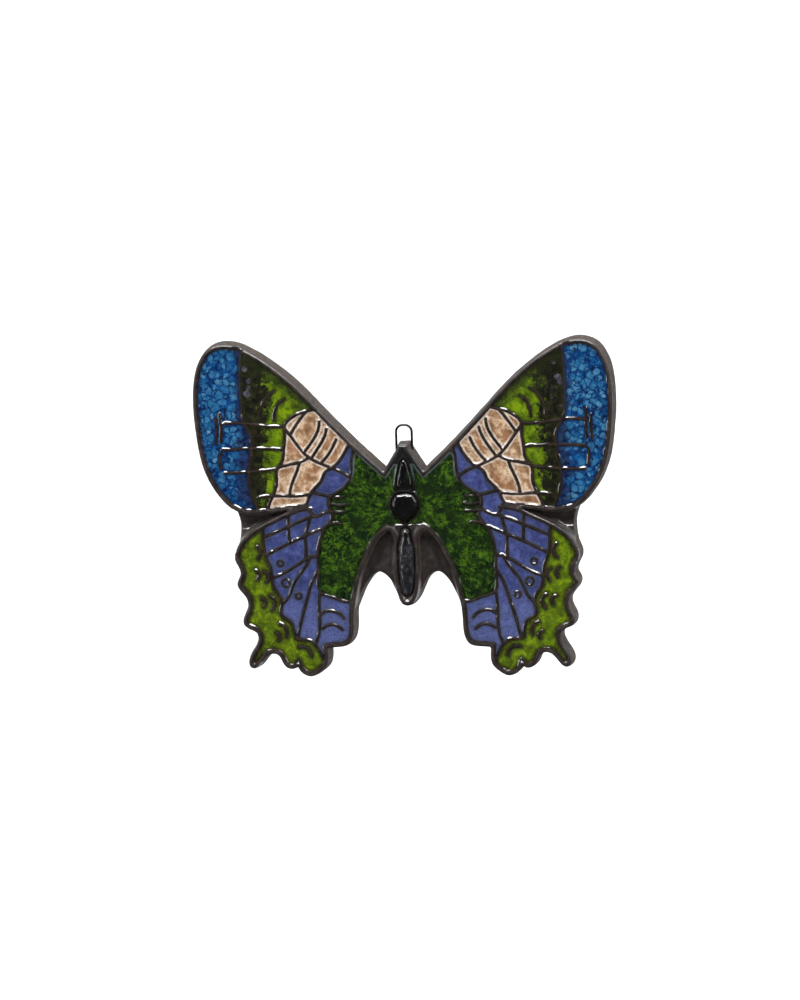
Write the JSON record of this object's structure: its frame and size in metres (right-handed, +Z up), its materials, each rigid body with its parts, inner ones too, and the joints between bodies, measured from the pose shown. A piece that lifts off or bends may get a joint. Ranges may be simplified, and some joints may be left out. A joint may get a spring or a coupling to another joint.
{
  "type": "butterfly brooch",
  "caption": "Glazed stoneware butterfly brooch with raised vein lines, wire hanging loop and a hinged pin back with rotating safety catch.",
  "frame": {"origin": "on the plane of the flat clay back, at the centre of the pin bar, on the plane of symmetry", "axes": "+Z up towards the head and the wire loop, +Y out of the back towards the wearer, front faces -Y, +X across the wings"},
  "size_m": [0.0694, 0.0098, 0.0555],
  "materials": {
    "stoneware": "satin dark iron-brown fired stoneware",
    "tip_blue_glaze": "glossy crackled blue",
    "forewing_green_glaze": "glossy mottled green with a dark band",
    "cream_glaze": "satin speckled cream",
    "forewing_violet_glaze": "glossy violet",
    "hindwing_violet_glaze": "glossy violet",
    "dark_green_glaze": "glossy mottled dark green",
    "lime_margin_glaze": "glossy mottled lime",
    "body_black_glaze": "glossy black",
    "dark_wire": "heat-darkened wire",
    "epoxy": "cured amber-grey epoxy",
    "nickel_steel": "nickel plated, lightly worn",
    "pin_steel": "polished drawn steel"
  },
  "bodies": {
    "brooch": {"clay_body": "stoneware", "left_tip_blue_glaze": "tip_blue_glaze", "right_tip_blue_glaze": "tip_blue_glaze", "left_forewing_green_glaze": "forewing_green_glaze", "right_forewing_green_glaze": "forewing_green_glaze", "left_cream_glaze": "cream_glaze", "right_cream_glaze": "cream_glaze", "left_forewing_violet_glaze": "forewing_violet_glaze", "right_forewing_violet_glaze": "forewing_violet_glaze", "left_hindwing_violet_glaze": "hindwing_violet_glaze", "right_hindwing_violet_glaze": "hindwing_violet_glaze", "left_dark_green_glaze": "dark_green_glaze", "right_dark_green_glaze": "dark_green_glaze", "left_lime_margin_glaze": "lime_margin_glaze", "right_lime_margin_glaze": "lime_margin_glaze", "body_black_glaze": "body_black_glaze", "wire_loop": "dark_wire", "adhesive_pad": "epoxy", "pin_bar": "nickel_steel", "hinge_rivet": "nickel_steel"},
    "pin": {"pin_stem": "pin_steel"},
    "catch": {"catch_rotor": "nickel_steel"}
  },
  "joints": [
    {"name": "pin_hinge", "type": "hinge", "parent": "brooch", "child": "pin", "pos_m": [-0.013, 0.0026, 0], "axis": [0, 0, 1], "range_deg": [0, 75]},
    {"name": "catch_turn", "type": "hinge", "parent": "brooch", "child": "catch", "pos_m": [0.0123, 0.0026, 0], "axis": [1, 0, 0], "range_deg": [0, 100]}
  ]
}
